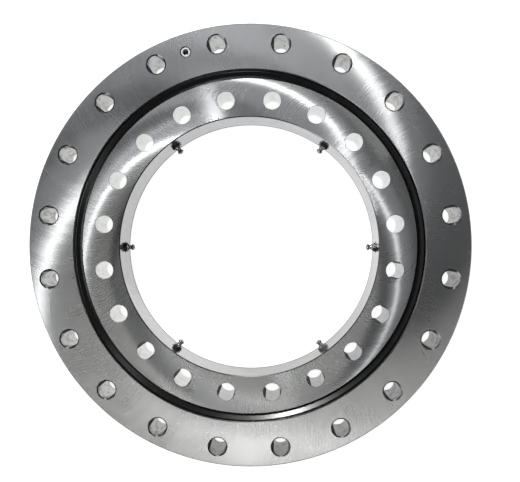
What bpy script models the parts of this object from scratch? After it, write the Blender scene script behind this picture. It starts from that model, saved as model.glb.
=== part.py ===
"""Ungeared four-point contact slewing ring: two drilled rings, caged balls, seals and fittings."""

import math

import bmesh
import bpy
from mathutils import Matrix

# Rings, in metres
BALL_CIRCLE = 0.355
BALL_DIAMETER = 0.025
OUTER_LAND = 0.0005
INNER_LAND = 0.0010
OUTER_RING_WALL = 0.046
INNER_RING_WALL = 0.0455
RING_HEIGHT = 0.060
EDGE_CHAMFER = 0.0010

# Bolt holes
BOLTS_PER_RING = 20
BOLT_HOLE_DIAMETER = 0.018
OUTER_BOLT_INSET = 0.018
INNER_BOLT_INSET = 0.018
HOLE_CHAMFER = 0.0010

# Raceways and cage
CONTACT_ANGLE = math.radians(45)
RACEWAY_EXTRA_RADIUS = 0.0005
BALL_SPACING = 0.0098
CAGE_RAIL = 0.0032

# Seals and the rebates they sit in
REBATE_WIDTH = 0.0068
REBATE_DEPTH = 0.0060
REBATE_UNDERCUT = 0.0008
SEAL_SHOULDER_GAP = 0.0013
SEAL_SHOULDER_DROP = 0.0032
SEAL_FACE_SWELL = 0.0001
SEAL_RIDGE_DROP = 0.0005
SEAL_RIDGE_INSET = 0.0005
SEAL_LIP_THICKNESS = 0.0011
SEAL_LIP_DROP = 0.0022

# Loading plug and its taper pin
PLUG_BOLT_PITCH = 6
PLUG_ALLOWANCE = 0.0030
PIN_DIAMETER = 0.010
PIN_TAPER = 1 / 50
PIN_PAST_PLUG = 0.0068
PIN_DROP = 0.0008
PIN_CHAMFER = 0.0005
PIN_THREAD_DIAMETER = 0.0052
PIN_THREAD_DEPTH = 0.014
PIN_THREAD_CONE = 0.0013
PIN_COUNTERSINK = 0.0006
PIN_HOLE_CHAMFER = 0.00035

# Grease nipples and the drillings behind them
NIPPLE_BOLT_PITCHES = (0, 3, 7, 10, 13, 17)
NIPPLE_HEX = 0.009
NIPPLE_HEX_HEIGHT = 0.0035
NIPPLE_THREAD_DIAMETER = 0.008
NIPPLE_THREAD_LENGTH = 0.0055
NIPPLE_THREAD_LEAD = 0.0005
NIPPLE_HEAD_DIAMETER = 0.0065
NIPPLE_NECK_DIAMETER = 0.0046
NIPPLE_TIP_DIAMETER = 0.0034
NIPPLE_TIP_CONE = 0.0013
NIPPLE_HEAD_BAND = 0.0012
NIPPLE_HEAD_UNDERCUT = 0.0018
NIPPLE_COLLAR_CONE = 0.0017
NIPPLE_COLLAR_BAND = 0.0007
SPOT_FACE_DIAMETER = 0.0125
SPOT_FACE_DEPTH = 0.0005
TAPPED_DEPTH = 0.0070
DUCT_DIAMETER = 0.004

# Clearances, and how finely round forms are divided
FIT_GAP = 0.0003
RING_STEPS = 60
CAGE_STEPS_PER_BALL = 2
HOLE_STEPS = 12
WINDOW_STEPS = 8
PLUG_STEPS = 20
PIN_STEPS = 12
NIPPLE_STEPS = 8
RACEWAY_STEPS = 4
MERGE = 0.00001
CUT_MARGIN = 0.005
SHARP_ANGLE = math.radians(25)

# Places worked out from the sizes above
BALL_RADIUS = BALL_DIAMETER / 2
PITCH_RADIUS = BALL_CIRCLE / 2
OUTER_BORE_RADIUS = PITCH_RADIUS + OUTER_LAND
OUTER_RADIUS = OUTER_BORE_RADIUS + OUTER_RING_WALL
INNER_RIM_RADIUS = PITCH_RADIUS - INNER_LAND
BORE_RADIUS = INNER_RIM_RADIUS - INNER_RING_WALL
MID_HEIGHT = RING_HEIGHT / 2
OUTER_BOLT_RADIUS = OUTER_RADIUS - OUTER_BOLT_INSET
INNER_BOLT_RADIUS = BORE_RADIUS + INNER_BOLT_INSET
BOLT_PITCH = 2 * math.pi / BOLTS_PER_RING
REBATE_RADIUS = INNER_RIM_RADIUS - REBATE_WIDTH
REBATE_FLOOR = RING_HEIGHT - REBATE_DEPTH
BALL_COUNT = int(math.pi * BALL_CIRCLE / (BALL_DIAMETER + BALL_SPACING))
CAGE_STEPS = CAGE_STEPS_PER_BALL * BALL_COUNT
PLUG_ANGLE = PLUG_BOLT_PITCH * BOLT_PITCH
PLUG_RADIUS = (BALL_DIAMETER + PLUG_ALLOWANCE) / 2
PIN_TOP = RING_HEIGHT - PIN_DROP
PIN_BOTTOM = MID_HEIGHT - PLUG_RADIUS - PIN_PAST_PLUG
SEAT_RADIUS = BORE_RADIUS + SPOT_FACE_DEPTH - FIT_GAP
NIPPLE_COLLAR_TOP = NIPPLE_HEX_HEIGHT + NIPPLE_COLLAR_BAND
NIPPLE_NECK_HEIGHT = NIPPLE_COLLAR_TOP + NIPPLE_COLLAR_CONE
NIPPLE_HEAD_HEIGHT = NIPPLE_NECK_HEIGHT + NIPPLE_HEAD_UNDERCUT
NIPPLE_STANDOUT = NIPPLE_HEAD_HEIGHT + NIPPLE_HEAD_BAND + NIPPLE_TIP_CONE


def new_collection(name, parent):
    collection = bpy.data.collections.new(name)
    parent.children.link(collection)
    return collection


def finish(name, colour, roughness, metallic=1.0):
    """A plain material for one kind of piece."""
    material = bpy.data.materials.new(name)
    material.use_nodes = True
    shader = material.node_tree.nodes["Principled BSDF"]
    shader.inputs["Base Color"].default_value = (*colour, 1)
    shader.inputs["Roughness"].default_value = roughness
    shader.inputs["Metallic"].default_value = metallic
    return material


def turned(name, profile, steps, collection, closed=True):
    """A shape turned about its own Z axis from (radius, height) points, listed down the outer side."""
    mesh = bpy.data.meshes.new(name)
    shape = bmesh.new()
    verts = [shape.verts.new((radius, 0, height)) for radius, height in profile]
    for first, second in zip(verts, verts[1:]):
        shape.edges.new((first, second))
    if closed:
        shape.edges.new((verts[-1], verts[0]))
    shape.to_mesh(mesh)
    shape.free()
    piece = bpy.data.objects.new(name, mesh)
    collection.objects.link(piece)
    screw = piece.modifiers.new("turn", "SCREW")
    screw.steps = steps
    screw.render_steps = steps
    screw.use_merge_vertices = True
    screw.merge_threshold = MERGE
    return piece


def prism(name, radius, sides, bottom, top, collection):
    """A round or many-sided bar along its own Z axis."""
    mesh = bpy.data.meshes.new(name)
    shape = bmesh.new()
    bmesh.ops.create_cone(
        shape,
        cap_ends=True,
        segments=sides,
        radius1=radius,
        radius2=radius,
        depth=top - bottom,
        matrix=Matrix.Translation((0, 0, (top + bottom) / 2)),
    )
    shape.to_mesh(mesh)
    shape.free()
    piece = bpy.data.objects.new(name, mesh)
    collection.objects.link(piece)
    return piece


def as_cutter(piece):
    piece.hide_render = True
    piece.display_type = "WIRE"
    return piece


def around(radius, angle, height):
    """The place at this radius, angle and height, with its X axis pointing outwards."""
    return Matrix.Rotation(angle, 4, "Z") @ Matrix.Translation((radius, 0, height))


def facing_axis(radius, angle, height):
    """The same place, with its own Z axis pointing at the bearing's centre line."""
    return around(radius, angle, height) @ Matrix.Rotation(-math.pi / 2, 4, "Y")


def boolean(piece, operation, tool):
    """Joins, cuts or keeps what is common with one object or with a collection of them."""
    modifier = piece.modifiers.new(operation.lower(), "BOOLEAN")
    modifier.operation = operation
    modifier.solver = "EXACT"
    if isinstance(tool, bpy.types.Collection):
        modifier.operand_type = "COLLECTION"
        modifier.collection = tool
    else:
        modifier.object = tool


def bake(piece):
    """Turns the modifiers into plain faces, smooth on the round and sharp at the edges."""
    graph = bpy.context.evaluated_depsgraph_get()
    mesh = bpy.data.meshes.new_from_object(piece.evaluated_get(graph))
    piece.modifiers.clear()
    piece.data = mesh
    mesh.shade_smooth()
    mesh.set_sharp_from_angle(angle=SHARP_ANGLE)


def raceway(side, land):
    """One ring's pointed-arch groove, from its low edge to its high edge, as (radius, height) points."""
    contact = BALL_RADIUS + FIT_GAP
    radius = BALL_RADIUS + RACEWAY_EXTRA_RADIUS
    shift = radius - contact
    across = shift * math.cos(CONTACT_ANGLE)
    along = shift * math.sin(CONTACT_ANGLE)
    first = math.asin(along / radius)
    last = math.acos((land + across) / radius)
    step = (last - first) / RACEWAY_STEPS
    outside_flats = 1 / math.cos(step / 2)
    upper = []
    for index in range(RACEWAY_STEPS + 1):
        angle = first + index * step
        reach = radius * (outside_flats if 0 < index < RACEWAY_STEPS else 1)
        upper.append((reach * math.cos(angle) - across, reach * math.sin(angle) - along))
    upper[0] = (upper[0][0] * outside_flats, 0)
    lower = [(depth, -height) for depth, height in reversed(upper[1:])]
    return [(PITCH_RADIUS + side * depth, MID_HEIGHT + height) for depth, height in lower + upper]


def bolt_hole_cutter(name, radius, chamfer, collection):
    """A through drilling, flared at both mouths where the hole is chamfered."""
    top = RING_HEIGHT
    if chamfer:
        flare = radius + chamfer + CUT_MARGIN
        profile = [
            (0, top + CUT_MARGIN),
            (flare, top + CUT_MARGIN),
            (radius, top - chamfer),
            (radius, chamfer),
            (flare, -CUT_MARGIN),
            (0, -CUT_MARGIN),
        ]
    else:
        profile = [
            (0, top + CUT_MARGIN),
            (radius, top + CUT_MARGIN),
            (radius, -CUT_MARGIN),
            (0, -CUT_MARGIN),
        ]
    return as_cutter(turned(name, profile, HOLE_STEPS, collection, closed=False))


def drill_bolt_circle(name, circle_radius, chamfer, collection):
    """The holes of one ring, set half a pitch round from the X axis."""
    first = bolt_hole_cutter(f"{name}_1", BOLT_HOLE_DIAMETER / 2, chamfer, collection)
    first.matrix_world = around(circle_radius, BOLT_PITCH / 2, 0)
    for index in range(1, BOLTS_PER_RING):
        hole = first.copy()
        hole.name = f"{name}_{index + 1}"
        collection.objects.link(hole)
        hole.matrix_world = around(circle_radius, (index + 0.5) * BOLT_PITCH, 0)


def pin_profile(gap, top, bottom):
    """A taper pin's sides grown by a gap, from its top to its bottom."""
    radii = [PIN_DIAMETER / 2 + gap - (PIN_TOP - height) * PIN_TAPER / 2 for height in (top, bottom)]
    return (radii[0], top), (radii[1], bottom)


def make_outer_ring(parts, cuts, blanks):
    """The fixed ring: a turned section, its bolt holes, and the bores for the loading plug and pin."""
    low, high = EDGE_CHAMFER, RING_HEIGHT - EDGE_CHAMFER
    section = [
        (OUTER_RADIUS - EDGE_CHAMFER, RING_HEIGHT),
        (OUTER_RADIUS, high),
        (OUTER_RADIUS, low),
        (OUTER_RADIUS - EDGE_CHAMFER, 0),
        (OUTER_BORE_RADIUS + EDGE_CHAMFER, 0),
        (OUTER_BORE_RADIUS, low),
        *raceway(1, OUTER_LAND),
        (OUTER_BORE_RADIUS, high),
        (OUTER_BORE_RADIUS + EDGE_CHAMFER, RING_HEIGHT),
    ]
    blank = as_cutter(turned("outer_ring_blank", section, RING_STEPS, blanks))
    ring = turned("outer_ring", section, RING_STEPS, parts)
    drill_bolt_circle("outer_bolt_hole", OUTER_BOLT_RADIUS, HOLE_CHAMFER, cuts)

    reach = OUTER_RING_WALL + 2 * CUT_MARGIN
    plug_bore = as_cutter(prism("plug_bore", PLUG_RADIUS + FIT_GAP, PLUG_STEPS, 0, reach, cuts))
    plug_bore.matrix_world = facing_axis(OUTER_RADIUS + CUT_MARGIN, PLUG_ANGLE, MID_HEIGHT)

    pin_bottom = PIN_BOTTOM - FIT_GAP
    mouth = RING_HEIGHT - PIN_HOLE_CHAMFER
    sides = pin_profile(FIT_GAP, mouth, pin_bottom)
    flare = sides[0][0] + PIN_HOLE_CHAMFER + CUT_MARGIN
    profile = [(0, RING_HEIGHT + CUT_MARGIN), (flare, RING_HEIGHT + CUT_MARGIN), *sides, (0, pin_bottom)]
    pin_hole = as_cutter(turned("pin_hole", profile, PIN_STEPS, cuts, closed=False))
    pin_hole.matrix_world = around(OUTER_BOLT_RADIUS, PLUG_ANGLE, 0)

    boolean(ring, "DIFFERENCE", cuts)
    return ring, blank, pin_hole


def make_loading_plug(parts, blank, pin_hole):
    """The plug that closes the ball-filling bore: its ends follow the rim and the raceway."""
    reach = OUTER_RING_WALL + 2 * CUT_MARGIN
    plug = prism("loading_plug", PLUG_RADIUS, PLUG_STEPS, 0, reach, parts)
    plug.matrix_world = facing_axis(OUTER_RADIUS + CUT_MARGIN, PLUG_ANGLE, MID_HEIGHT)
    boolean(plug, "INTERSECT", blank)
    boolean(plug, "DIFFERENCE", pin_hole)
    return plug


def make_plug_pin(parts):
    """The taper pin through ring and plug, with an extraction thread in its top end."""
    upper, lower = pin_profile(0, PIN_TOP - PIN_CHAMFER, PIN_BOTTOM + PIN_CHAMFER)
    thread = PIN_THREAD_DIAMETER / 2
    thread_end = PIN_TOP - PIN_THREAD_DEPTH
    profile = [
        (0, thread_end - PIN_THREAD_CONE),
        (thread, thread_end),
        (thread, PIN_TOP - PIN_COUNTERSINK),
        (thread + PIN_COUNTERSINK, PIN_TOP),
        (upper[0] - PIN_CHAMFER, PIN_TOP),
        upper,
        lower,
        (lower[0] - PIN_CHAMFER, PIN_BOTTOM),
        (0, PIN_BOTTOM),
    ]
    pin = turned("plug_pin", profile, PIN_STEPS, parts, closed=False)
    pin.matrix_world = around(OUTER_BOLT_RADIUS, PLUG_ANGLE, 0)
    return pin


def nipple_drilling(cuts):
    """Spot face, tapped hole and grease duct for one nipple, all on one line to the raceway."""
    seat = -SPOT_FACE_DEPTH
    tapped = NIPPLE_THREAD_DIAMETER / 2 + FIT_GAP
    duct = DUCT_DIAMETER / 2
    duct_end = BORE_RADIUS - (PITCH_RADIUS - BALL_RADIUS + FIT_GAP)
    profile = [
        (0, NIPPLE_STANDOUT),
        (SPOT_FACE_DIAMETER / 2, NIPPLE_STANDOUT),
        (SPOT_FACE_DIAMETER / 2, seat),
        (tapped, seat),
        (tapped, seat - TAPPED_DEPTH),
        (duct, seat - TAPPED_DEPTH - tapped + duct),
        (duct, duct_end),
        (0, duct_end),
    ]
    return as_cutter(turned("nipple_drilling", profile, NIPPLE_STEPS, cuts, closed=False))


def make_inner_ring(parts, cuts):
    """The turning ring: a turned section with a seal rebate at each face, its holes and drillings."""
    low, high = EDGE_CHAMFER, RING_HEIGHT - EDGE_CHAMFER
    section = [
        (REBATE_RADIUS, RING_HEIGHT),
        (REBATE_RADIUS - REBATE_UNDERCUT, REBATE_FLOOR),
        (INNER_RIM_RADIUS, REBATE_FLOOR),
        *reversed(raceway(-1, INNER_LAND)),
        (INNER_RIM_RADIUS, REBATE_DEPTH),
        (REBATE_RADIUS - REBATE_UNDERCUT, REBATE_DEPTH),
        (REBATE_RADIUS, 0),
        (BORE_RADIUS + EDGE_CHAMFER, 0),
        (BORE_RADIUS, low),
        (BORE_RADIUS, high),
        (BORE_RADIUS + EDGE_CHAMFER, RING_HEIGHT),
    ]
    ring = turned("inner_ring", section, RING_STEPS, parts)
    drill_bolt_circle("inner_bolt_hole", INNER_BOLT_RADIUS, 0, cuts)
    first = nipple_drilling(cuts)
    for index, pitches in enumerate(NIPPLE_BOLT_PITCHES):
        drilling = first if index == 0 else first.copy()
        if index:
            cuts.objects.link(drilling)
        drilling.matrix_world = facing_axis(BORE_RADIUS, pitches * BOLT_PITCH, MID_HEIGHT)
    boolean(ring, "DIFFERENCE", cuts)
    return ring


def seal_section():
    """The upper seal: a foot in the rebate, a face that slants up to a ridge, and a lip beyond it."""
    top = RING_HEIGHT
    slope = REBATE_UNDERCUT / REBATE_DEPTH
    shoulder = REBATE_RADIUS + SEAL_SHOULDER_GAP
    foot_top = top - (SEAL_SHOULDER_DROP + REBATE_DEPTH) / 2
    foot_bottom = REBATE_FLOOR + FIT_GAP
    lip_tip = OUTER_BORE_RADIUS * math.cos(math.pi / RING_STEPS) - FIT_GAP
    heel = INNER_RIM_RADIUS - FIT_GAP
    ridge = heel - SEAL_RIDGE_INSET
    face_middle = top - (SEAL_SHOULDER_DROP + SEAL_RIDGE_DROP) / 2
    return [
        (shoulder, top - SEAL_SHOULDER_DROP),
        ((shoulder + ridge) / 2, face_middle + SEAL_FACE_SWELL),
        (ridge, top - SEAL_RIDGE_DROP),
        (lip_tip, top - SEAL_LIP_DROP),
        (lip_tip, top - SEAL_LIP_DROP - SEAL_LIP_THICKNESS),
        (heel, foot_bottom),
        (REBATE_RADIUS + FIT_GAP - (top - foot_bottom) * slope, foot_bottom),
        (REBATE_RADIUS + FIT_GAP - (top - foot_top) * slope, foot_top),
    ]


def make_seal(name, parts, flipped):
    """One face seal: the lower one is the upper one's section turned over."""
    section = seal_section()
    if flipped:
        section = [(radius, RING_HEIGHT - height) for radius, height in reversed(section)]
    return turned(name, section, RING_STEPS, parts)


def nipple_mesh(parts):
    """One straight grease nipple: tapped stem, hexagon, neck and coned head, seated at its origin."""
    stem = NIPPLE_THREAD_DIAMETER / 2
    head = NIPPLE_HEAD_DIAMETER / 2
    tip = NIPPLE_TIP_DIAMETER / 2
    neck = NIPPLE_NECK_DIAMETER / 2
    profile = [
        (0, NIPPLE_STANDOUT),
        (tip, NIPPLE_STANDOUT),
        (head, NIPPLE_HEAD_HEIGHT + NIPPLE_HEAD_BAND),
        (head, NIPPLE_HEAD_HEIGHT),
        (neck, NIPPLE_NECK_HEIGHT),
        (head, NIPPLE_COLLAR_TOP),
        (head, NIPPLE_HEX_HEIGHT / 2),
        (stem, NIPPLE_HEX_HEIGHT / 2),
        (stem, NIPPLE_THREAD_LEAD - NIPPLE_THREAD_LENGTH),
        (stem - NIPPLE_THREAD_LEAD, -NIPPLE_THREAD_LENGTH),
        (0, -NIPPLE_THREAD_LENGTH),
    ]
    body = turned("nipple_body", profile, NIPPLE_STEPS, parts, closed=False)
    across_corners = NIPPLE_HEX / math.cos(math.pi / 6)
    hexagon = prism("nipple_hexagon", across_corners / 2, 6, 0, NIPPLE_HEX_HEIGHT, parts)
    boolean(body, "UNION", hexagon)
    bake(body)
    mesh = body.data
    bpy.data.objects.remove(body)
    bpy.data.objects.remove(hexagon)
    return mesh


def make_nipples(parts, ring):
    """The nipples round the bore at mid height, each aimed at the centre line."""
    mesh = nipple_mesh(parts)
    nipples = []
    for number, pitches in enumerate(NIPPLE_BOLT_PITCHES, 1):
        nipple = bpy.data.objects.new(f"grease_nipple_{number}", mesh)
        parts.objects.link(nipple)
        nipple.parent = ring
        nipple.matrix_world = facing_axis(SEAT_RADIUS, pitches * BOLT_PITCH, MID_HEIGHT)
        nipples.append(nipple)
    return nipples


def make_cage(parts, cuts):
    """A thin strip cage that runs in the gap between the rings, with one round window for each ball."""
    outer = OUTER_BORE_RADIUS * math.cos(math.pi / RING_STEPS) - FIT_GAP
    inner = (INNER_RIM_RADIUS + FIT_GAP) / math.cos(math.pi / CAGE_STEPS)
    half = BALL_RADIUS + CAGE_RAIL
    section = [
        (outer, MID_HEIGHT + half),
        (outer, MID_HEIGHT - half),
        (inner, MID_HEIGHT - half),
        (inner, MID_HEIGHT + half),
    ]
    cage = turned("ball_cage", section, CAGE_STEPS, parts)
    cage.matrix_world = Matrix.Rotation(math.pi / CAGE_STEPS, 4, "Z")
    window_radius = (BALL_RADIUS + FIT_GAP) / math.cos(math.pi / WINDOW_STEPS)
    first = as_cutter(prism("cage_window", window_radius, WINDOW_STEPS, -CUT_MARGIN, CUT_MARGIN, cuts))
    for index in range(BALL_COUNT):
        window = first if index == 0 else first.copy()
        if index:
            cuts.objects.link(window)
        window.matrix_world = facing_axis(PITCH_RADIUS, ball_angle(index), MID_HEIGHT)
    boolean(cage, "DIFFERENCE", cuts)
    return cage


def ball_angle(index):
    return 2 * math.pi * index / BALL_COUNT


def make_balls(parts, cage):
    """The bearing balls on their pitch circle, carried round by the cage."""
    mesh = bpy.data.meshes.new("bearing_ball")
    shape = bmesh.new()
    bmesh.ops.create_icosphere(shape, subdivisions=2, radius=BALL_RADIUS)
    shape.to_mesh(mesh)
    shape.free()
    mesh.shade_smooth()
    balls = []
    for index in range(BALL_COUNT):
        ball = bpy.data.objects.new(f"ball_{index + 1:02d}", mesh)
        parts.objects.link(ball)
        ball.parent = cage
        ball.matrix_world = around(PITCH_RADIUS, ball_angle(index), MID_HEIGHT)
        balls.append(ball)
    return balls


def build():
    for piece in list(bpy.data.objects):
        bpy.data.objects.remove(piece)
    scene = bpy.context.scene.collection
    parts = new_collection("slewing_ring_bearing", scene)
    cutters = new_collection("cutters", scene)
    outer_cuts = new_collection("outer_ring_cuts", cutters)
    inner_cuts = new_collection("inner_ring_cuts", cutters)
    cage_cuts = new_collection("cage_cuts", cutters)
    blanks = new_collection("blanks", cutters)

    outer_ring, blank, pin_hole = make_outer_ring(parts, outer_cuts, blanks)
    plug = make_loading_plug(parts, blank, pin_hole)
    pin = make_plug_pin(parts)
    inner_ring = make_inner_ring(parts, inner_cuts)
    seals = [make_seal("upper_seal", parts, False), make_seal("lower_seal", parts, True)]
    cage = make_cage(parts, cage_cuts)
    bpy.context.view_layer.update()
    for piece in (plug, outer_ring, pin, inner_ring, *seals, cage):
        bake(piece)

    nipples = make_nipples(parts, inner_ring)
    balls = make_balls(parts, cage)
    for piece, carrier in ((plug, outer_ring), (pin, outer_ring), *((seal, inner_ring) for seal in seals)):
        place = piece.matrix_world.copy()
        piece.parent = carrier
        piece.matrix_world = place

    ring_steel = finish("turned_ring_steel", (0.47, 0.47, 0.48), 0.32)
    bore_steel = finish("ground_ring_steel", (0.60, 0.60, 0.61), 0.28)
    ball_steel = finish("ball_steel", (0.72, 0.72, 0.73), 0.12)
    strip_steel = finish("cage_strip_steel", (0.52, 0.50, 0.46), 0.38)
    fitting_steel = finish("plated_fitting_steel", (0.56, 0.55, 0.52), 0.35)
    rubber = finish("seal_rubber", (0.028, 0.028, 0.030), 0.45, 0.0)
    finishes = (
        (ring_steel, [outer_ring, plug]),
        (bore_steel, [inner_ring]),
        (ball_steel, balls[:1]),
        (strip_steel, [cage]),
        (fitting_steel, [pin, nipples[0]]),
        (rubber, seals),
    )
    for material, pieces in finishes:
        for piece in pieces:
            piece.data.materials.clear()
            piece.data.materials.append(material)


build()
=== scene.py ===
"""Looks of the slewing ring bearing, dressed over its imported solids."""

import math

import bmesh
import bpy
from mathutils import Matrix, Vector


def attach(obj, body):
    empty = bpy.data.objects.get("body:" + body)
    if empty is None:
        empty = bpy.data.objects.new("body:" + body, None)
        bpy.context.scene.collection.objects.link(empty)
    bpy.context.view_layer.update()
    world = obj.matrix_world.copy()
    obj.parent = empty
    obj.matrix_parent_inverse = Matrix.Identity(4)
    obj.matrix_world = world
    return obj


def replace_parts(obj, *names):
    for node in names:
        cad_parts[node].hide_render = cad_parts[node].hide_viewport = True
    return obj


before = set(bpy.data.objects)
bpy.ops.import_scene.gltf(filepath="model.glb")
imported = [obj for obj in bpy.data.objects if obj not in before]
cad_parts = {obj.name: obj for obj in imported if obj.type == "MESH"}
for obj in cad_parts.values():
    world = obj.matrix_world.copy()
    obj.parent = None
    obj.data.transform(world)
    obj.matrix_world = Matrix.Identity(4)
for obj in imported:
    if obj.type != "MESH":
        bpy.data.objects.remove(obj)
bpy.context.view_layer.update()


# ---- Camera ---------------------------------------------------------------------------------
# The photograph was taken from straight above, a little right of the bearing's centre line,
# with the lens raised: the picture's middle lies above the point that the camera looks at.
CAMERA_PLACE = Vector((0.0285, 0.0005, 0.889))
CAMERA_TARGET = Vector((0.0069, -0.0304, 0.060))


def put_in_scene(name, data):
    """Makes an object of a camera, a lamp or a mesh."""
    made = bpy.data.objects.new(name, data)
    bpy.context.scene.collection.objects.link(made)
    return made


camera_data = bpy.data.cameras.new("studio_camera")
camera_data.sensor_width = 36
camera_data.lens = 56.78
camera_data.shift_x = 0.0081
camera_data.shift_y = 0.0697
camera = put_in_scene("studio_camera", camera_data)
back = (CAMERA_PLACE - CAMERA_TARGET).normalized()
right = Vector((0, 1, 0)).cross(back).normalized()
turn = Matrix((right, back.cross(right), back)).transposed()
camera.matrix_world = Matrix.Translation(CAMERA_PLACE) @ turn.to_4x4()
bpy.context.scene.camera = camera
bpy.context.scene.view_settings.view_transform = "Standard"


# ---- Floor and light ------------------------------------------------------------------------
# A white paper floor, which stays white to the eye and in the polished walls but keeps the
# shadow under the rings. Soft boxes stand on all sides, and one narrow bright strip beyond the
# picture's top edge.
FLOOR_SIZE = 12.0
FLOOR_GREY = 0.62
FLOOR_TO_EYE = 0.95
FLOOR_IN_POLISH = 0.95
DIM_SIDE = (0.57, -0.82, 0.0)
DIM_FROM = 0.06
DIM_TO = 0.14
DIM_SHARE = 0.6
ROOM_LIGHT = 0.07
LAMP_DISTANCE = 2.5
LAMP_AIM = 0.06
DAYLIGHT = (0.98, 0.995, 1.02)
WARM_LIGHT = (1.01, 1.01, 0.97)


def feed(tree, socket, value):
    """Links another node's output to a socket, or sets the socket to a plain value."""
    if isinstance(value, bpy.types.NodeSocket):
        tree.links.new(value, socket)
    else:
        socket.default_value = value


def add(tree, kind, settings=None, **inputs):
    """Adds a node, sets its properties, and feeds its inputs, named with _ for a space."""
    made = tree.nodes.new(kind)
    for name, value in (settings or {}).items():
        setattr(made, name, value)
    for name, value in inputs.items():
        feed(tree, made.inputs[name.replace("_", " ")], value)
    return made


def compute(tree, operation, *values):
    """The result of one step of arithmetic on numbers or outputs."""
    made = tree.nodes.new("ShaderNodeMath")
    made.operation = operation
    for socket, value in zip(made.inputs, values):
        feed(tree, socket, value)
    return made.outputs[0]


def compute_vector(tree, operation, *values):
    """The result of one step of arithmetic on vectors or outputs."""
    made = tree.nodes.new("ShaderNodeVectorMath")
    made.operation = operation
    for socket, value in zip(made.inputs, values):
        feed(tree, socket, value)
    return made.outputs["Value" if operation in ("LENGTH", "DOT_PRODUCT") else "Vector"]


def spread(tree, value, low, high, to_low, to_high):
    """The value between low and high, stretched to another pair of values and held there."""
    made = add(tree, "ShaderNodeMapRange", Value=value)
    made.inputs["From Min"].default_value = low
    made.inputs["From Max"].default_value = high
    made.inputs["To Min"].default_value = to_low
    made.inputs["To Max"].default_value = to_high
    return made.outputs["Result"]


def finished_mesh(name, shape):
    """Turns the shape into a mesh of that name."""
    mesh = bpy.data.meshes.new(name)
    shape.to_mesh(mesh)
    shape.free()
    return mesh


shape = bmesh.new()
bmesh.ops.create_grid(shape, x_segments=1, y_segments=1, size=FLOOR_SIZE / 2)
floor = put_in_scene("paper_floor", finished_mesh("paper_floor", shape))

# The paper looks almost white to the eye, and in the polish it dims towards one side.
# The dimming is painted shade, standing for the rings' shadow on the floor on that side.
paper = bpy.data.materials.new("white_paper")
paper.use_nodes = True
tree = paper.node_tree
tree.nodes.remove(tree.nodes["Principled BSDF"])
path = tree.nodes.new("ShaderNodeLightPath")
place = tree.nodes.new("ShaderNodeTexCoord").outputs["Object"]
polish = compute(tree, "MAXIMUM", path.outputs["Is Glossy Ray"], path.outputs["Is Transmission Ray"])
sideways = compute_vector(tree, "DOT_PRODUCT", place, DIM_SIDE)
dimmed = spread(tree, sideways, DIM_FROM, DIM_TO, FLOOR_IN_POLISH, DIM_SHARE * FLOOR_IN_POLISH)
seen = compute(tree, "MULTIPLY", path.outputs["Is Camera Ray"], FLOOR_TO_EYE)
seen = compute(tree, "ADD", seen, compute(tree, "MULTIPLY", polish, dimmed))
glow = add(tree, "ShaderNodeEmission", Strength=seen)
matt = add(tree, "ShaderNodeBsdfDiffuse", Color=(FLOOR_GREY, FLOOR_GREY, FLOOR_GREY, 1))
both = tree.nodes.new("ShaderNodeAddShader")
tree.links.new(matt.outputs[0], both.inputs[0])
tree.links.new(glow.outputs[0], both.inputs[1])
tree.links.new(both.outputs[0], tree.nodes["Material Output"].inputs["Surface"])
paper.cycles.emission_sampling = "NONE"
floor.data.materials.append(paper)

# The room gives the rings a faint light from all round, and is white where the eye sees it.
world = bpy.data.worlds.new("grey_room")
world.use_nodes = True
room = world.node_tree.nodes["Background"]
room.inputs["Color"].default_value = (1.0, 1.0, 1.0, 1)
to_the_eye = world.node_tree.nodes.new("ShaderNodeLightPath").outputs["Is Camera Ray"]
strength = compute(world.node_tree, "MULTIPLY_ADD", to_the_eye, 1.0 - ROOM_LIGHT, ROOM_LIGHT)
world.node_tree.links.new(strength, room.inputs["Strength"])
bpy.context.scene.world = world


def place_lamp(name, zenith, bearing, width, length, brightness, turn=0, colour=(1, 1, 1)):
    """A soft box facing the rings, with its angles and its size to either side in degrees."""
    data = bpy.data.lights.new(name, "AREA")
    data.shape = "RECTANGLE"
    data.size = 2 * LAMP_DISTANCE * math.tan(math.radians(width))
    data.size_y = 2 * LAMP_DISTANCE * math.tan(math.radians(length))
    data.energy = brightness * math.pi * data.size * data.size_y
    data.color = colour
    aim = Matrix.Translation((0, 0, LAMP_AIM))
    towards = Matrix.Rotation(math.radians(bearing), 4, "Z") @ Matrix.Rotation(math.radians(zenith), 4, "Y")
    away = Matrix.Translation((0, 0, LAMP_DISTANCE))
    level = Matrix.Rotation(math.radians(90 + turn), 4, "Z")
    put_in_scene(name, data).matrix_world = aim @ towards @ away @ level


place_lamp("bright_strip", 48.2, 105.9, 1.5, 8.3, 90, -6)
place_lamp("south_box", 21.2, 251.0, 12.8, 3.1, 3.9, 14, WARM_LIGHT)
place_lamp("west_box", 63.0, 176.8, 18.0, 3.6, 10.0, 5)
place_lamp("overhead_box", 25.4, 59.0, 26.0, 4.1, 0.94, 60, DAYLIGHT)
place_lamp("north_box", 25.8, 110.2, 10.9, 2.2, 4.9, 3, DAYLIGHT)
place_lamp("southwest_strip", 29.4, 214.5, 2.2, 5.6, 7.5, 39)
place_lamp("east_box", 43.3, 335.5, 20.7, 2.7, 0.8, -51)
place_lamp("low_north_strip", 72.0, 94.0, 5.0, 14.0, 4.0)
place_lamp("low_southwest_strip", 80.0, 222.0, 22.0, 5.0, 3.2)


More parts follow.
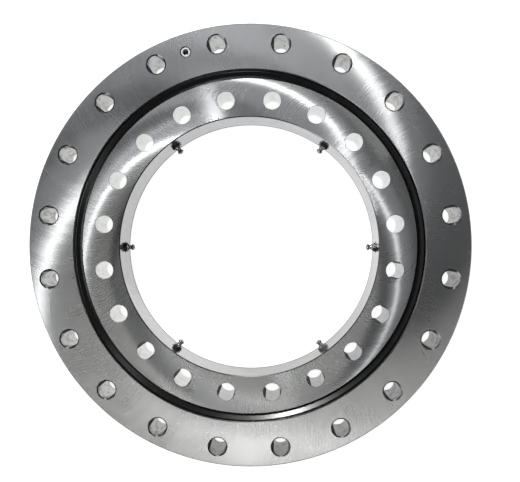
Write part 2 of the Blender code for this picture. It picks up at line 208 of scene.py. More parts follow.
# ---- Outer ring -----------------------------------------------------------------------------
# The fixed ring, turned from a forged steel blank with a pointed-arch raceway. Both faces are
# ground flat and drilled for twenty bolts with chamfered mouths, and a radial bore for filling
# in the balls crosses the taper pin's hole at 108 degrees.
HEIGHT = 0.060
MIDDLE = HEIGHT / 2
OUTER_RIM = 0.224
OUTER_BORE = 0.178
EDGE = 0.0010
LIP_EDGE = 0.0012
BALL_TRACK = 0.1775
OUTER_BOLTS = 0.206
HOLE = 0.009
OUTER_CHAMFER = 0.0012
PLUG_ANGLE = math.radians(108)
PLUG = 0.014
PLUG_CLEARANCE = 0.0003
PLUG_REACH = 0.06
PIN_TOP = HEIGHT - 0.0008
PIN_BOTTOM = 0.0092
PIN = 0.005
PIN_TAPER = 0.01
PIN_CLEARANCE = 0.00025
ROUND = 720
GROUND_STEEL = (0.495, 0.50, 0.505)

# Marks of the grinding wheel: how fine they are, and how soon they end along the wheel's arcs.
# Wisps and bands also turn the grain to either side of the arcs, by up to half of their stray.
# Where marks of two kinds meet, the border is ragged round the ring, in radians, and outwards.
WISPS = (135.0, 0.07)
BANDS = (30.0, 0.25)
HAIRS = (120.0, 0.03)
WISP_STRAY = math.radians(6)
BAND_STRAY = math.radians(5)
RAGGED_ROUND = 0.30
RAGGED_OUT = 0.008


def noise(tree, vector, scale, detail=2.0, roughness=0.5):
    """Soft random blotches, as values round 0.5."""
    made = add(tree, "ShaderNodeTexNoise", Vector=vector, Scale=scale, Detail=detail, Roughness=roughness)
    return made.outputs["Fac"]


def blend_colour(tree, factor, first, second):
    """The first colour where the factor is 0, and the second where it is 1."""
    made = tree.nodes.new("ShaderNodeMix")
    made.data_type = "RGBA"
    feed(tree, made.inputs[0], factor)
    for socket, value in ((made.inputs[6], first), (made.inputs[7], second)):
        feed(tree, socket, value if isinstance(value, bpy.types.NodeSocket) else (*value, 1))
    return made.outputs[2]


def new_material(name):
    """A material with its shader, and the coordinates that its patterns read."""
    material = bpy.data.materials.new(name)
    material.use_nodes = True
    tree = material.node_tree
    place = tree.nodes.new("ShaderNodeTexCoord").outputs["Object"]
    return material, tree, tree.nodes["Principled BSDF"], place


def new_effect(name, inputs, outputs):
    """An effect for several finishes, with what it is given and what it gives, from inside it."""
    group = bpy.data.node_groups.new(name, "ShaderNodeTree")
    for label, kind in inputs.items():
        group.interface.new_socket(label, in_out="INPUT", socket_type=kind)
    for label in outputs:
        group.interface.new_socket(label, in_out="OUTPUT", socket_type="NodeSocketFloat")
    return group, group.nodes.new("NodeGroupInput").outputs, group.nodes.new("NodeGroupOutput").inputs


def effect(tree, group, **inputs):
    """Places an effect in a finish."""
    return add(tree, "ShaderNodeGroup", {"node_tree": group}, **inputs).outputs


def flattened(tree, place):
    """The place without its height, and its three parts."""
    parts = add(tree, "ShaderNodeSeparateXYZ", Vector=place).outputs
    return add(tree, "ShaderNodeCombineXYZ", X=parts["X"], Y=parts["Y"]).outputs[0], parts


def turned_about_axis(tree, vector, angle):
    """The vector turned about the bearing's centre line."""
    made = add(tree, "ShaderNodeVectorRotate", {"rotation_type": "Z_AXIS"}, Vector=vector, Angle=angle)
    return made.outputs["Vector"]


def filaments(tree, rolled, radius, scale, shortness):
    """Fine threads along the wheel's arcs. Rolled is a direction that one arc's points share."""
    depth = add(tree, "ShaderNodeCombineXYZ", Z=compute(tree, "MULTIPLY", radius, shortness))
    return noise(tree, compute_vector(tree, "ADD", rolled, depth.outputs[0]), scale, 1.5)


def steel_wear_effect():
    """Blotches, specks and stains for any steel surface, as masks from 0 to 1."""
    group, inlet, outlet = new_effect(
        "steel_wear", {"Place": "NodeSocketVector"}, ("Blotch", "Speck", "Stain"))
    place = inlet["Place"]
    feed(group, outlet["Blotch"], spread(group, noise(group, place, 26.0, 4.0, 0.6), 0.42, 0.66, 0, 1))
    feed(group, outlet["Speck"], spread(group, noise(group, place, 420.0, 1.0), 0.71, 0.76, 0, 1))
    upright = compute_vector(group, "MULTIPLY", place, (1.0, 1.0, 0.3))
    feed(group, outlet["Stain"], spread(group, noise(group, upright, 200.0, 3.0, 0.6), 0.48, 0.62, 0, 1))
    return group


def wheel_marks_effect():
    """Wisps along the arcs, from -0.5 to 0.5, and a mask of darker hairlines between them."""
    group, inlet, outlet = new_effect(
        "wheel_marks", {"Rolled": "NodeSocketVector", "Radius": "NodeSocketFloat"}, ("Wisp", "Hair"))
    wisp = filaments(group, inlet["Rolled"], inlet["Radius"], *WISPS)
    feed(group, outlet["Wisp"], compute(group, "SUBTRACT", wisp, 0.5))
    hair = filaments(group, inlet["Rolled"], inlet["Radius"], *HAIRS)
    feed(group, outlet["Hair"], spread(group, hair, 0.44, 0.66, 0, 0.45))
    return group


def lathe_marks_effect():
    """The height of the fine grooves that a lathe leaves round the centre line."""
    group, inlet, outlet = new_effect("lathe_marks", {"Place": "NodeSocketVector"}, ("Groove",))
    flat, parts = flattened(group, inlet["Place"])
    section = add(group, "ShaderNodeCombineXYZ", X=compute_vector(group, "LENGTH", flat), Z=parts["Z"])
    feed(group, outlet["Groove"], noise(group, section.outputs[0], 1400.0, 2.0))
    return group


steel_wear = steel_wear_effect()
wheel_marks = wheel_marks_effect()
lathe_marks = lathe_marks_effect()


def set_grain(tree, shader, direction):
    """Spreads the shader's highlights along a direction of the piece."""
    grain = add(tree, "ShaderNodeVectorTransform",
                {"vector_type": "VECTOR", "convert_from": "OBJECT", "convert_to": "WORLD"}, Vector=direction)
    tree.links.new(grain.outputs[0], shader.inputs["Tangent"])


def wheel_arcs(tree, offset, lean_at, slope, bend=0.0):
    """How far the arcs lean from the radius, and how far round they have run, at this offset in
    metres from the face's middle circle. The lean on that circle is in degrees, the slope in
    degrees a millimetre and the bend in degrees a square millimetre."""
    least_cosine = 0.05
    face_radius = 0.17
    slope_in_metres = math.radians(slope) * 1000
    lean = compute(tree, "MULTIPLY_ADD", offset, math.radians(bend) * 1e6, slope_in_metres)
    lean = compute(tree, "MULTIPLY_ADD", offset, lean, math.radians(lean_at))
    along_radius = compute(tree, "MAXIMUM", compute(tree, "COSINE", lean), least_cosine)
    run = compute(tree, "LOGARITHM", along_radius, math.e)
    return lean, compute(tree, "DIVIDE", run, -slope_in_metres * face_radius)


def in_stretch(tree, azimuth, start, end):
    """1 between two bearings in degrees, and 0 elsewhere."""
    return compute(tree, "MULTIPLY",
                   compute(tree, "GREATER_THAN", azimuth, math.radians(start)),
                   compute(tree, "LESS_THAN", azimuth, math.radians(end)))


def swapped(tree, mask, value, other):
    """The value where the mask is 0, and the other one where it is 1."""
    return compute(tree, "MULTIPLY_ADD", compute(tree, "SUBTRACT", other, value), mask, value)


def ground_over(tree, place, offset, azimuth, bearing):
    """0 in the flecks of old turning marks that the wheel has missed, and 1 elsewhere. They lie
    round one bearing and, more thinly, round the opposite one, and more of them near the bore."""
    narrowness = 25.0
    threshold = 0.55
    fewer_opposite = 0.03
    fewer_a_metre_out = 5.0
    close = compute(tree, "COSINE", compute(tree, "SUBTRACT", azimuth, math.radians(bearing)))
    level = compute(tree, "ABSOLUTE", close)
    level = compute(tree, "MULTIPLY_ADD", level, -narrowness, narrowness + threshold)
    level = compute(tree, "MULTIPLY_ADD", close, -fewer_opposite, level)
    level = compute(tree, "MULTIPLY_ADD", offset, fewer_a_metre_out, level)
    fleck = noise(tree, compute_vector(tree, "MULTIPLY", place, (1.0, 0.3, 1.0)), 3000.0, 0.0)
    return compute(tree, "LESS_THAN", fleck, level)


def ground_steel(name, middle, arcs, zones=(), straight=(), turning_marks_at=None, roughness=0.25):
    """A face ground with a cup wheel, which leaves arcs whose lean from the radius changes on
    the way out. The highlights spread across the arcs. Each zone is a stretch of the ring,
    between two bearings, with arcs of its own. The straight patch has parallel marks: it lies
    between two bearings, up to an offset from the middle circle, and they run at a third."""
    material, tree, shader, place = new_material(name)
    flat, parts = flattened(tree, place)
    radius = compute_vector(tree, "LENGTH", flat)
    outward = compute_vector(tree, "NORMALIZE", flat)
    offset = compute(tree, "SUBTRACT", radius, middle)

    # The zones and the straight patch end in ragged borders.
    lean, run = wheel_arcs(tree, offset, *arcs)
    if zones:
        ragged = compute(tree, "SUBTRACT", noise(tree, place, 900.0, 2.0), 0.5)
        azimuth = compute(tree, "ARCTAN2", parts["Y"], parts["X"])
        azimuth = compute(tree, "MULTIPLY_ADD", ragged, RAGGED_ROUND, azimuth)
    for start, end, *other_arcs in zones:
        inside = in_stretch(tree, azimuth, start, end)
        other_lean, other_run = wheel_arcs(tree, offset, *other_arcs)
        lean = swapped(tree, inside, lean, other_lean)
        run = swapped(tree, inside, run, other_run)
    if straight:
        start, end, edge, bearing = straight
        near = compute(tree, "MULTIPLY_ADD", ragged, RAGGED_OUT, offset)
        near = spread(tree, near, edge - 0.002, edge + 0.003, 1, 0)
        inside = compute(tree, "MULTIPLY", in_stretch(tree, azimuth, start, end), near)
        parallel = compute(tree, "SUBTRACT", azimuth, math.radians(bearing))
        lean = swapped(tree, inside, lean, parallel)

    # The shared effect feeds the colour and the roughness. The direction of the grain is for the
    # shader alone, so it is worked out here.
    rolled = turned_about_axis(tree, outward, run)
    wisps = compute(tree, "SUBTRACT", filaments(tree, rolled, radius, *WISPS), 0.5)
    bands = compute(tree, "SUBTRACT", filaments(tree, rolled, radius, *BANDS), 0.5)
    stray = compute(tree, "MULTIPLY", wisps, WISP_STRAY)
    stray = compute(tree, "MULTIPLY_ADD", bands, BAND_STRAY, stray)
    across = compute(tree, "ADD", compute(tree, "SUBTRACT", stray, lean), math.pi / 2)
    if turning_marks_at:
        over = ground_over(tree, place, offset, azimuth, turning_marks_at)
        across = compute(tree, "MULTIPLY", across, over)
    set_grain(tree, shader, turned_about_axis(tree, outward, across))

    wear = effect(tree, steel_wear, Place=place)
    marks = effect(tree, wheel_marks, Rolled=rolled, Radius=radius)
    dull = compute(tree, "MULTIPLY_ADD", marks["Wisp"], 0.05, roughness)
    dull = compute(tree, "MULTIPLY_ADD", wear["Blotch"], 0.03, dull)
    tree.links.new(dull, shader.inputs["Roughness"])
    dark = tuple(0.86 * part for part in GROUND_STEEL)
    bright = (0.85, 0.85, 0.85)
    tint = blend_colour(tree, compute(tree, "MULTIPLY", wear["Blotch"], 0.35), GROUND_STEEL, dark)
    tint = blend_colour(tree, marks["Hair"], tint, dark)
    tint = blend_colour(tree, compute(tree, "MULTIPLY", wear["Speck"], 0.5), tint, bright)
    tree.links.new(tint, shader.inputs["Base Color"])
    shader.inputs["Metallic"].default_value = 1.0
    shader.inputs["Anisotropic"].default_value = 1.0
    return material


def turned_steel(name, colour, roughness, anisotropy=0.6, grazing=1.0, marks_depth=0.1, stained=0.92):
    """A wall with fine marks round the centre line. Grazing is its brightness at a low angle,
    and stained what is left of its colour in the stains."""
    material, tree, shader, place = new_material(name)
    wear = effect(tree, steel_wear, Place=place)
    dull = compute(tree, "MULTIPLY_ADD", wear["Blotch"], 0.05, roughness)
    tree.links.new(dull, shader.inputs["Roughness"])
    dark = tuple(stained * part for part in colour)
    stains = compute(tree, "MAXIMUM", compute(tree, "MULTIPLY", wear["Blotch"], 0.4), wear["Stain"])
    tree.links.new(blend_colour(tree, stains, colour, dark), shader.inputs["Base Color"])
    groove = effect(tree, lathe_marks, Place=place)["Groove"]
    bump = add(tree, "ShaderNodeBump", Strength=marks_depth, Distance=0.0001, Height=groove)
    tree.links.new(bump.outputs[0], shader.inputs["Normal"])
    set_grain(tree, shader, add(tree, "ShaderNodeCombineXYZ", Z=1.0).outputs[0])
    shader.inputs["Metallic"].default_value = 1.0
    shader.inputs["Anisotropic"].default_value = anisotropy
    shader.inputs["Specular Tint"].default_value = (grazing, grazing, grazing, 1)
    return material


outer_face = ground_steel("outer_ground_face", middle=0.201, arcs=(11.7, 0.759))
turned_wall = turned_steel("turned_wall", (0.38, 0.38, 0.39), 0.24)
# The broken edges are darker than the walls: painted shade for the thin dark lines round the rims and the
# holes' mouths.
turned_edge = turned_steel(
    "turned_edge", (0.24, 0.24, 0.25), 0.24, anisotropy=0.0, grazing=0.7, marks_depth=0.0)
outer_hole_wall = turned_steel("drilled_hole", (0.54, 0.54, 0.53), 0.13, grazing=0.82, stained=0.5)
# The sides of the holes are painted dark: painted shade for the dark that they mirror in each other and
# under the ring.
hole_side = turned_steel("shaded_hole_side", (0.13, 0.13, 0.13), 0.25, anisotropy=0.4, grazing=0.16)


def ring_object(name, mesh, *materials):
    """A piece of the bearing, with the finishes that its faces take."""
    for material in materials:
        mesh.materials.append(material)
    return put_in_scene(name, mesh)


def spun(name, profile, steps=ROUND, closed=True):
    """A mesh spun about the centre line from (radius, height) points."""
    shape = bmesh.new()
    verts = [shape.verts.new((radius, 0, height)) for radius, height in profile]
    edges = [shape.edges.new(pair) for pair in zip(verts, verts[1:])]
    if closed:
        edges.append(shape.edges.new((verts[-1], verts[0])))
    bmesh.ops.spin(shape, geom=verts + edges, axis=(0, 0, 1), cent=(0, 0, 0), steps=steps,
                   angle=2 * math.pi, use_merge=True)
    bmesh.ops.remove_doubles(shape, verts=shape.verts, dist=1e-6)
    bmesh.ops.recalc_face_normals(shape, faces=shape.faces)
    return finished_mesh(name, shape)


def joined(name, meshes_and_places):
    """Several copies of meshes, each at its place, as one mesh."""
    shape = bmesh.new()
    for mesh, place in meshes_and_places:
        before = len(shape.verts)
        shape.from_mesh(mesh)
        shape.verts.ensure_lookup_table()
        bmesh.ops.transform(shape, matrix=place, verts=shape.verts[before:])
    return finished_mesh(name, shape)


def machined(piece, operation, cutter_mesh):
    """Cuts the piece with a mesh, joins them, or keeps what they share."""
    cutter = put_in_scene("cutter", cutter_mesh)
    cut = piece.modifiers.new("cut", "BOOLEAN")
    cut.operation = operation
    cut.solver = "EXACT"
    cut.object = cutter
    graph = bpy.context.evaluated_depsgraph_get()
    mesh = bpy.data.meshes.new_from_object(piece.evaluated_get(graph))
    piece.modifiers.clear()
    mesh.name = piece.name
    piece.data = mesh
    bpy.data.objects.remove(cutter)


def smoothed(mesh, degrees=25):
    """Shades the mesh smoothly between edges sharper than this."""
    mesh.shade_smooth()
    mesh.set_sharp_from_angle(angle=math.radians(degrees))


def around(radius, angle, height=0.0):
    """A place upright on a circle round the centre line."""
    return Matrix.Rotation(angle, 4, "Z") @ Matrix.Translation((radius, 0, height))


def towards_axis(radius, angle, height=MIDDLE):
    """A place on a circle whose upward direction points to the centre line."""
    return around(radius, angle, height) @ Matrix.Rotation(-math.pi / 2, 4, "Y")


def bolt_angles():
    """The bearings of a ring's twenty bolt holes."""
    return [math.radians(9 + 18 * index) for index in range(20)]


def raceway(side, land):
    """The groove's (radius, height) points from its low edge to its high edge. Each flank is an
    arc of 13.0 mm that comes within 12.8 mm of the ball's middle at 45 degrees."""
    contact, radius = 0.0128, 0.0130
    steps = 10
    shift = (radius - contact) * math.sqrt(0.5)
    first = math.asin(shift / radius)
    last = math.acos((land + shift) / radius)
    upper = []
    for index in range(steps + 1):
        angle = first + index * (last - first) / steps
        upper.append((radius * math.cos(angle) - shift, radius * math.sin(angle) - shift))
    lower = [(depth, -height) for depth, height in reversed(upper[1:])]
    return [(BALL_TRACK + side * depth, MIDDLE + height) for depth, height in lower + upper]


def hole_cutter(radius, chamfer):
    """A through drill of round section with flared mouths, on the centre line."""
    past = 0.005
    flare = radius + chamfer + past
    return spun("drill", [
        (0, HEIGHT + past), (flare, HEIGHT + past), (radius, HEIGHT - chamfer),
        (radius, chamfer), (flare, -past), (0, -past),
    ], steps=72)


def in_a_hole(circle, middle, aside=0.0):
    """Whether a face lies in a bolt hole, at least this far to one side of its middle."""
    angle = math.atan2(middle.y, middle.x)
    pitch = math.radians(18)
    nearest = (math.floor(angle / pitch) + 0.5) * pitch
    hole = Vector((circle * math.cos(nearest), circle * math.sin(nearest)))
    round_the_ring = Vector((-math.sin(nearest), math.cos(nearest)))
    beside = abs((middle.xy - hole).dot(round_the_ring)) >= aside
    return beside and (middle.xy - hole).length < HOLE + 0.0015


def on_a_flat_face(middle, normal):
    """Whether a face is part of a ring's ground upper or lower face."""
    return abs(normal.z) > 0.999 and not 0.001 < middle.z < HEIGHT - 0.001


def finish_faces(piece, tests):
    """Gives each face the first material whose test its middle and normal pass."""
    slots = {material.name: index for index, material in enumerate(piece.data.materials)}
    for face in piece.data.polygons:
        for material, test in tests:
            if test(face.center, face.normal):
                face.material_index = slots[material.name]
                break


def pin_radius(height):
    """The taper pin's radius at a height."""
    return PIN - (PIN_TOP - height) * PIN_TAPER


blank = spun("outer_blank", [
    (OUTER_RIM - EDGE, HEIGHT), (OUTER_RIM, HEIGHT - EDGE),
    (OUTER_RIM, EDGE), (OUTER_RIM - EDGE, 0),
    (OUTER_BORE + LIP_EDGE, 0), (OUTER_BORE, LIP_EDGE),
    *raceway(side=1, land=0.0005),
    (OUTER_BORE, HEIGHT - LIP_EDGE), (OUTER_BORE + LIP_EDGE, HEIGHT),
])
outer_ring = ring_object("outer_ring_body", blank.copy(),
                         outer_face, turned_wall, outer_hole_wall, turned_edge, hole_side)
drill = hole_cutter(HOLE, OUTER_CHAMFER)
drills = joined("outer_drills", [(drill, around(OUTER_BOLTS, angle)) for angle in bolt_angles()])
machined(outer_ring, "DIFFERENCE", drills)

plug_bore = spun("plug_bore", [
    (0, PLUG_REACH), (PLUG + PLUG_CLEARANCE, PLUG_REACH), (PLUG + PLUG_CLEARANCE, 0), (0, 0),
], steps=96)
plug_place = towards_axis(OUTER_RIM + 0.005, PLUG_ANGLE)
machined(outer_ring, "DIFFERENCE", joined("plug_bore", [(plug_bore, plug_place)]))

# The pin's hole opens in a small chamfer, and ends a little below the pin.
pin_hole_top = HEIGHT + 0.002
pin_mouth = HEIGHT - 0.00035
mouth_radius = pin_radius(pin_mouth) + PIN_CLEARANCE
pin_floor = PIN_BOTTOM - 0.0003
pin_bore = spun("pin_bore", [
    (0, pin_hole_top), (mouth_radius + pin_hole_top - pin_mouth, pin_hole_top), (mouth_radius, pin_mouth),
    (pin_radius(PIN_BOTTOM) + PIN_CLEARANCE, pin_floor), (0, pin_floor),
], steps=72)
pin_place = around(OUTER_BOLTS, PLUG_ANGLE)
pin_hole = joined("pin_hole", [(pin_bore, pin_place)])
machined(outer_ring, "DIFFERENCE", pin_hole)
smoothed(outer_ring.data)

finish_faces(outer_ring, (
    (outer_face, on_a_flat_face),
    (turned_edge, lambda middle, normal: not 0.0015 < middle.z < HEIGHT - 0.0015),
    (hole_side, lambda middle, normal: in_a_hole(OUTER_BOLTS, middle, aside=0.0076)),
    (outer_hole_wall, lambda middle, normal: in_a_hole(OUTER_BOLTS, middle)),
    (turned_wall, lambda middle, normal: True),
))
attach(outer_ring, "outer_ring")
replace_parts(outer_ring, "outer_ring")


# ---- Loading plug ---------------------------------------------------------------------------
# The round steel bar that closes the ball-filling bore. It is turned together with the ring,
# so its ends follow the rim and the raceway.
plug_bar = spun("plug_bar", [(0, PLUG_REACH), (PLUG, PLUG_REACH), (PLUG, 0), (0, 0)], steps=96)
plug = ring_object("loading_plug_body", joined("plug_bar", [(plug_bar, plug_place)]), turned_wall)
machined(plug, "INTERSECT", blank)
machined(plug, "DIFFERENCE", pin_hole)
smoothed(plug.data)
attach(plug, "outer_ring")
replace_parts(plug, "loading_plug")


# ---- Taper pin ------------------------------------------------------------------------------
# A ground steel pin, driven in from the upper face to hold the plug. Its head is drilled and
# threaded, so that it can be drawn out again.
THREAD = 0.0026
THREAD_DEPTH = 0.0004
THREAD_PITCH = 0.0008
THREAD_TURNS = 17

pin_profile = [(0, PIN_TOP - 0.0153), (THREAD, PIN_TOP - 0.014)]
for turn_index in range(THREAD_TURNS):
    low = PIN_TOP - 0.0138 + turn_index * THREAD_PITCH
    pin_profile += [(THREAD, low), (THREAD + THREAD_DEPTH, low + THREAD_DEPTH)]
pin_profile += [
    (THREAD + 0.0002, PIN_TOP - 0.0002), (THREAD + 0.0006, PIN_TOP), (PIN - 0.0005, PIN_TOP),
    (PIN, PIN_TOP - 0.0005),
    (pin_radius(PIN_BOTTOM + 0.0005), PIN_BOTTOM + 0.0005),
    (pin_radius(PIN_BOTTOM) - 0.0005, PIN_BOTTOM), (0, PIN_BOTTOM),
]
pin_steel = turned_steel("ground_pin", (0.70, 0.70, 0.70), 0.25)
pin_shape = spun("taper_pin", pin_profile, steps=64, closed=False)
pin = ring_object("taper_pin_body", joined("taper_pin", [(pin_shape, pin_place)]), pin_steel)
smoothed(pin.data)
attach(pin, "outer_ring")
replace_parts(pin, "plug_pin")


# ---- Inner ring -----------------------------------------------------------------------------
# The turning ring: turned steel with a raceway, a rebate for a seal at each face, twenty plain
# reamed bolt holes, and six spot-faced and tapped holes for grease nipples in its bore.
BORE = 0.131
INNER_RIM = 0.1765
INNER_BOLTS = 0.149
INNER_CHAMFER = 0.0003
REBATE = 0.1697
REBATE_EDGE = 0.0006
REBATE_FLOOR = 0.0060
UNDERCUT = 0.0008
PAINTED_SHADE_TOP = 0.0046
NIPPLE_ANGLES = [math.radians(18 * pitches) for pitches in (0, 3, 7, 10, 13, 17)]
DARK_HOLES = (math.radians(-144), 0)

inner_face = ground_steel(
    "inner_ground_face", middle=0.150, arcs=(-25.0, 2.0),
    zones=((-74, 33, -32.0, -2.05), (33, 108, 28.0, 1.55, 0.037)),
    straight=(15, 47, -0.0150, 27.5), turning_marks_at=106.5, roughness=0.27)
bore_wall = turned_steel("bore_wall", (0.48, 0.48, 0.48), 0.12, anisotropy=0.5, grazing=0.76, stained=0.88)
# The lowest few millimetres of the bore are painted dark: a painted shadow for the shade under the ring,
# seen past the bore's foot.
bore_foot = turned_steel("painted_shade_bore_foot", (0.20, 0.20, 0.20), 0.20, anisotropy=0.5, grazing=0.4)
inner_hole_wall = turned_steel("reamed_hole", (0.62, 0.62, 0.61), 0.12, stained=0.8)

inner_section = [
    (REBATE - REBATE_EDGE, HEIGHT), (REBATE, HEIGHT - REBATE_EDGE),
    (REBATE - UNDERCUT, HEIGHT - REBATE_FLOOR), (INNER_RIM, HEIGHT - REBATE_FLOOR),
    *reversed(raceway(side=-1, land=0.0010)),
    (INNER_RIM, REBATE_FLOOR), (REBATE - UNDERCUT, REBATE_FLOOR),
    (REBATE, REBATE_EDGE), (REBATE - REBATE_EDGE, 0),
    (BORE + EDGE, 0), (BORE, EDGE), (BORE, PAINTED_SHADE_TOP), (BORE, HEIGHT - EDGE), (BORE + EDGE, HEIGHT),
]
inner_ring = ring_object("inner_ring_body", spun("inner_ring_body", inner_section), inner_face, bore_wall,
                         inner_hole_wall, turned_wall, turned_edge, bore_foot, hole_side)
drill = hole_cutter(HOLE, INNER_CHAMFER)
drills = joined("inner_drills", [(drill, around(INNER_BOLTS, angle)) for angle in bolt_angles()])
machined(inner_ring, "DIFFERENCE", drills)

# From the bore outwards: the spot face, the tapped hole with its drill point, the grease duct.
spot_face = spun("spot_face", [
    (0, 0.010), (0.00625, 0.010), (0.00625, -0.0005), (0.0043, -0.0005), (0.0043, -0.0075),
    (0.0020, -0.0098), (0.0020, -0.0343), (0, -0.0343),
], steps=48)
spots = joined("spot_faces", [(spot_face, towards_axis(BORE, angle)) for angle in NIPPLE_ANGLES])
machined(inner_ring, "DIFFERENCE", spots)
smoothed(inner_ring.data)


def in_the_bore(middle):
    """Whether a face lies on the bore's wall or its broken edges."""
    return middle.xy.length < BORE + 0.0012


def on_a_dark_side(middle):
    """Whether a face lies on a hole's side, between the bearings where those sides take the painted shade.
    """
    angle = math.atan2(middle.y, middle.x)
    return DARK_HOLES[0] < angle < DARK_HOLES[1] and in_a_hole(INNER_BOLTS, middle, aside=0.0072)


finish_faces(inner_ring, (
    (inner_face, on_a_flat_face),
    (turned_edge, lambda middle, normal: middle.z > HEIGHT - 0.0010),
    (bore_foot, lambda middle, normal: in_the_bore(middle) and middle.z < PAINTED_SHADE_TOP),
    (bore_wall, lambda middle, normal: in_the_bore(middle)),
    (hole_side, lambda middle, normal: on_a_dark_side(middle)),
    (inner_hole_wall, lambda middle, normal: in_a_hole(INNER_BOLTS, middle)),
    (turned_wall, lambda middle, normal: True),
))
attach(inner_ring, "inner_ring")
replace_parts(inner_ring, "inner_ring")


# ---- Seals ----------------------------------------------------------------------------------
# A black nitrile rubber strip in each face's rebate, cut to length and butted at 108 degrees.
# Its foot grips the undercut, its slanted face runs up to a crown, and its lip runs on the
# outer ring.
HEEL = INNER_RIM - 0.0003
LIP = OUTER_BORE - 0.0004
BUTT_GAP = math.radians(0.03)
BLACK = (0.0015, 0.0015, 0.0015)
DUSTY_BLACK = (0.006, 0.006, 0.0055)
DUST_GREY = (0.25, 0.25, 0.24)


def seal_rubber_material():
    """Black rubber with a dull shine, thin dust in patches and single grains in the dust."""
    material, tree, shader, place = new_material("black_seal_rubber")
    grain = spread(tree, noise(tree, place, 900.0, 1.0), 0.70, 0.74, 0, 1)
    dust = spread(tree, noise(tree, place, 60.0, 3.0), 0.50, 0.70, 0, 1)
    grey = blend_colour(tree, compute(tree, "MULTIPLY", dust, 0.35), BLACK, DUSTY_BLACK)
    grain = compute(tree, "MULTIPLY", compute(tree, "MULTIPLY", grain, dust), 0.8)
    grey = blend_colour(tree, grain, grey, DUST_GREY)
    tree.links.new(grey, shader.inputs["Base Color"])
    tree.links.new(compute(tree, "MULTIPLY_ADD", dust, 0.05, 0.23), shader.inputs["Roughness"])
    skin = add(tree, "ShaderNodeBump", Strength=0.05, Distance=0.0002, Height=noise(tree, place, 700.0, 2.0))
    tree.links.new(skin.outputs[0], shader.inputs["Normal"])
    shader.inputs["IOR"].default_value = 1.47
    shader.inputs["Coat Weight"].default_value = 0.85
    shader.inputs["Coat Roughness"].default_value = 0.19
    return material


seal_rubber = seal_rubber_material()

# From the foot up the slanted face to the crown, over the dip at the heel to the lip, and back.
seal_section = [
    (REBATE + 0.0002, HEIGHT - 0.0044),
    (REBATE + 0.0005, HEIGHT - 0.0039),
    (REBATE + 0.0010, HEIGHT - 0.00355),
    (REBATE + 0.0024, HEIGHT - 0.00277),
    (REBATE + 0.0038, HEIGHT - 0.0020),
    (REBATE + 0.0051, HEIGHT - 0.00127),
    (REBATE + 0.0063, HEIGHT - 0.0006),
    (REBATE + 0.0065, HEIGHT - 0.0005),
    (REBATE + 0.0067, HEIGHT - 0.0006),
    (HEEL + 0.0003, HEIGHT - 0.0014),
    (HEEL + 0.0005, HEIGHT - 0.0017),
    (HEEL + 0.0008, HEIGHT - 0.00155),
    (LIP - 0.0002, HEIGHT - 0.0012),
    (LIP, HEIGHT - 0.0015),
    (LIP - 0.0001, HEIGHT - 0.0030),
    (HEEL, HEIGHT - REBATE_FLOOR + 0.0004),
    (HEEL - 0.0004, HEIGHT - REBATE_FLOOR + 0.0003),
    (REBATE - 0.0003, HEIGHT - REBATE_FLOOR + 0.0003),
    (REBATE + 0.0001, HEIGHT - 0.0050),
]


def rubber_strip(name, section):
    """The strip swept once round, closed at its two butted ends."""
    shape = bmesh.new()
    end = shape.faces.new([shape.verts.new((radius, 0, height)) for radius, height in section])
    start = Matrix.Rotation(PLUG_ANGLE + BUTT_GAP, 3, "Z")
    bmesh.ops.rotate(shape, verts=shape.verts, cent=(0, 0, 0), matrix=start)
    bmesh.ops.spin(shape, geom=[end, *end.edges, *end.verts], axis=(0, 0, 1), cent=(0, 0, 0), steps=ROUND,
                   angle=2 * (math.pi - BUTT_GAP))
    bmesh.ops.recalc_face_normals(shape, faces=shape.faces)
    mesh = finished_mesh(name, shape)
    smoothed(mesh, degrees=50)
    strip = ring_object(name, mesh, seal_rubber)
    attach(strip, "inner_ring")
    return strip


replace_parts(rubber_strip("upper_seal_strip", seal_section), "upper_seal")
lower_section = [(radius, HEIGHT - height) for radius, height in reversed(seal_section)]
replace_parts(rubber_strip("lower_seal_strip", lower_section), "lower_seal")


# ---- Grease nipples -------------------------------------------------------------------------
# Six straight zinc-plated nipples screwed into the bore at mid height: a hexagon with turned
# corners, a neck and a coned head with a small ball valve in its tip.
HEX = 0.009
HEX_DEPTH = 0.0035
HEX_CORNER = HEX / math.sqrt(3)
SHANK = 0.0040
SHANK_END = -0.0055
SEAT = 0.1312
SCREWED_TO = (30, 14, 44, 22, 36, 8)

nipple_steel = turned_steel("zinc_plated_nipple", (0.40, 0.40, 0.39), 0.13, anisotropy=0.0, grazing=0.6)

# From the ball valve in the tip down the coned head and the neck to the hexagon.
head_profile = [
    (0, 0.0100),
    (0.0009, 0.0099), (0.0012, 0.0102), (0.0017, 0.0102), (0.0024, 0.0096), (0.0030, 0.0092),
    (0.00325, 0.0088), (0.00325, 0.0079), (0.0031, 0.0076), (0.0026, 0.0071), (0.0023, 0.0064),
    (0.0023, 0.0058), (0.0024, 0.0054), (0.0031, 0.0047), (0.00325, 0.0044), (0.00325, 0.0030),
    (0.0030, 0.0028), (0, 0.0028),
]
thread_profile = [(0, 0.0010), (SHANK, 0.0010)]
for turn_index in range(6):
    low = -0.0004 - turn_index * THREAD_PITCH
    thread_profile += [(SHANK, low), (SHANK - THREAD_DEPTH, low - THREAD_DEPTH)]
thread_profile += [(SHANK - THREAD_DEPTH, SHANK_END), (0, SHANK_END)]

# The turned form that takes the hexagon's corners off.
corner_cone = spun("corner_cone", [
    (0, 0.0045), (0.0034, 0.0045), (HEX / 2 - 0.0001, 0.0035), (HEX * 0.58, 0.0029), (HEX * 0.58, 0.0006),
    (HEX / 2 - 0.0001, 0), (0, 0),
], steps=48)

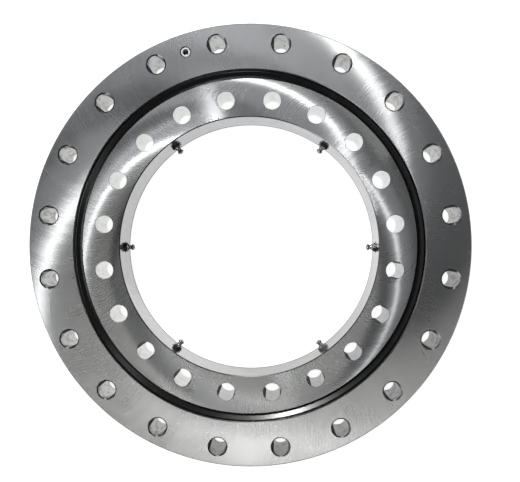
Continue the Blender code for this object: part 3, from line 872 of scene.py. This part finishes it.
shape = bmesh.new()
bmesh.ops.create_cone(shape, cap_ends=True, segments=6, radius1=HEX_CORNER, radius2=HEX_CORNER,
                      depth=HEX_DEPTH, matrix=Matrix.Translation((0, 0, HEX_DEPTH / 2)))
hexagon = ring_object("nipple_hexagon", finished_mesh("hexagon", shape))
machined(hexagon, "INTERSECT", corner_cone)
machined(hexagon, "UNION", spun("nipple_head", head_profile, steps=40, closed=False))
machined(hexagon, "UNION", spun("nipple_thread", thread_profile, steps=40, closed=False))
nipple_mesh = hexagon.data
bpy.data.objects.remove(hexagon)
smoothed(nipple_mesh, degrees=30)
for number, (angle, screwed_to) in enumerate(zip(NIPPLE_ANGLES, SCREWED_TO), 1):
    mesh = nipple_mesh.copy()
    mesh.transform(towards_axis(SEAT, angle) @ Matrix.Rotation(math.radians(screwed_to), 4, "Z"))
    nipple = ring_object(f"nipple_{number}", mesh, nipple_steel)
    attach(nipple, "inner_ring")
    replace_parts(nipple, f"grease_nipple_{number}")


# ---- Ball cage ------------------------------------------------------------------------------
# A thin pressed steel strip with one round window a ball, which runs in the gap between the
# rings and keeps the balls apart.
BALLS = 32
BALL = 0.0125
WINDOW_CLEARANCE = 0.0003
WINDOW_REACH = 0.005
CAGE_OUTSIDE = 0.1776
CAGE_INSIDE = 0.1769
CAGE_TOP = MIDDLE + BALL + 0.0032
CAGE_FOOT = MIDDLE - BALL - 0.0032

cage_steel = turned_steel("oiled_cage_strip", (0.50, 0.48, 0.44), 0.36)
cage = ring_object("cage_strip", spun("cage_strip", [
    (CAGE_OUTSIDE, CAGE_TOP), (CAGE_OUTSIDE, CAGE_FOOT), (CAGE_INSIDE, CAGE_FOOT), (CAGE_INSIDE, CAGE_TOP),
], steps=512), cage_steel)
window = spun("window", [
    (0, WINDOW_REACH), (BALL + WINDOW_CLEARANCE, WINDOW_REACH),
    (BALL + WINDOW_CLEARANCE, -WINDOW_REACH), (0, -WINDOW_REACH),
], steps=40)
windows = [(window, towards_axis(BALL_TRACK, 2 * math.pi * index / BALLS)) for index in range(BALLS)]
machined(cage, "DIFFERENCE", joined("windows", windows))
smoothed(cage.data)
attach(cage, "ball_set")
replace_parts(cage, "ball_cage")


# ---- Balls ----------------------------------------------------------------------------------
# Thirty-two hardened and lapped steel balls of 25 mm, which roll in the raceways of both rings
# and are filled in through the loading plug's bore.
ball_steel = turned_steel("lapped_ball", (0.76, 0.76, 0.77), 0.08, anisotropy=0.0)
for index in range(BALLS):
    shape = bmesh.new()
    bmesh.ops.create_uvsphere(shape, u_segments=40, v_segments=20, radius=BALL,
                              matrix=around(BALL_TRACK, 2 * math.pi * index / BALLS, MIDDLE))
    mesh = finished_mesh(f"bearing_ball_{index + 1:02d}", shape)
    mesh.shade_smooth()
    ball = ring_object(mesh.name, mesh, ball_steel)
    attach(ball, "ball_set")
    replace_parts(ball, f"ball_{index + 1:02d}")
